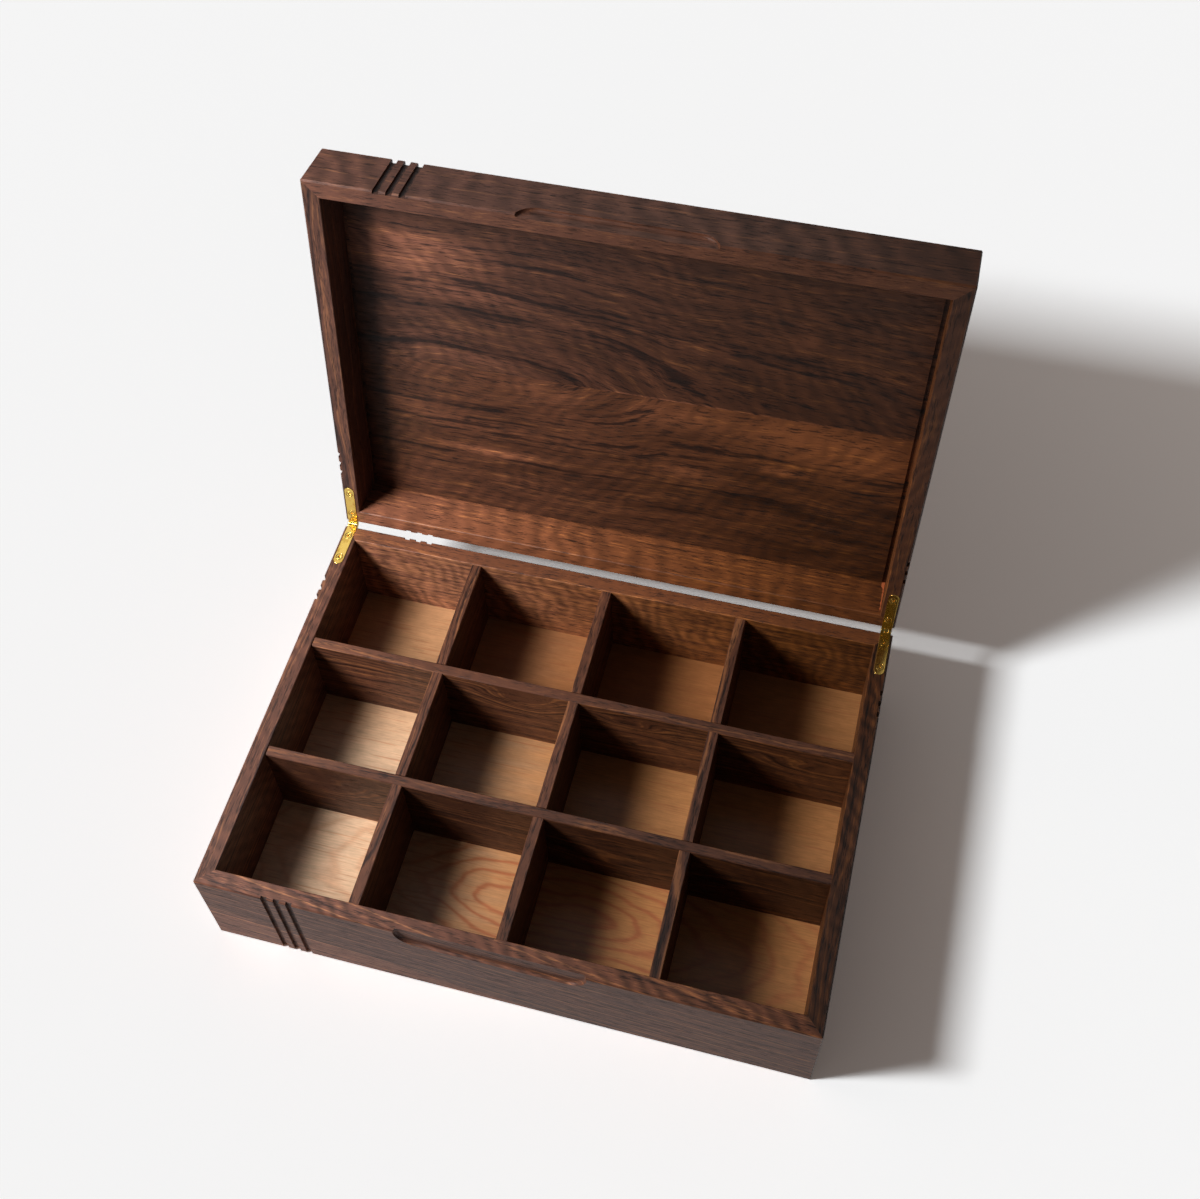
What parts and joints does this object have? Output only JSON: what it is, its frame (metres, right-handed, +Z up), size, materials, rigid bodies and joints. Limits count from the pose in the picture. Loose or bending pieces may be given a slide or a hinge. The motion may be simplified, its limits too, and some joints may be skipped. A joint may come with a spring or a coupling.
{
  "type": "tea chest",
  "caption": "Walnut tea chest with an egg-crate divider, a pale floor, a framed lid on brass rail hinges, grooves and a finger scoop.",
  "frame": {"origin": "on the resting plane, under the middle of the whole chest as it stands with its lid open", "axes": "+X to the chest's right along its length, +Y to the back where the hinges are, +Z up"},
  "size_m": [0.35, 0.3238, 0.3215],
  "materials": {
    "walnut_frame": "satin oil",
    "walnut_divider": "satin oil",
    "walnut_panel": "satin oil",
    "maple_floor": "satin oil",
    "brass": "polished"
  },
  "bodies": {
    "base": {"base_front_board": "walnut_frame", "base_back_board": "walnut_frame", "base_left_board": "walnut_frame", "base_right_board": "walnut_frame", "base_floor_panel": "maple_floor", "divider_long_front": "walnut_divider", "divider_long_rear": "walnut_divider", "divider_cross_left": "walnut_divider", "divider_cross_middle": "walnut_divider", "divider_cross_right": "walnut_divider", "hinge_left_base_leaf": "brass", "hinge_left_pin": "brass", "hinge_left_base_screws": "brass", "hinge_right_base_leaf": "brass", "hinge_right_pin": "brass", "hinge_right_base_screws": "brass"},
    "lid": {"lid_front_board": "walnut_frame", "lid_back_board": "walnut_frame", "lid_left_board": "walnut_frame", "lid_right_board": "walnut_frame", "lid_panel_front_board": "walnut_panel", "lid_panel_rear_board": "walnut_panel", "hinge_left_lid_leaf": "brass", "hinge_left_lid_screws": "brass", "hinge_right_lid_leaf": "brass", "hinge_right_lid_screws": "brass"}
  },
  "joints": [
    {"name": "lid_hinge", "type": "hinge", "parent": "base", "child": "lid", "pos_m": [0, 0.0912, 0.0716], "axis": [-1, 0, 0], "range_deg": [-98.8, 0]}
  ]
}
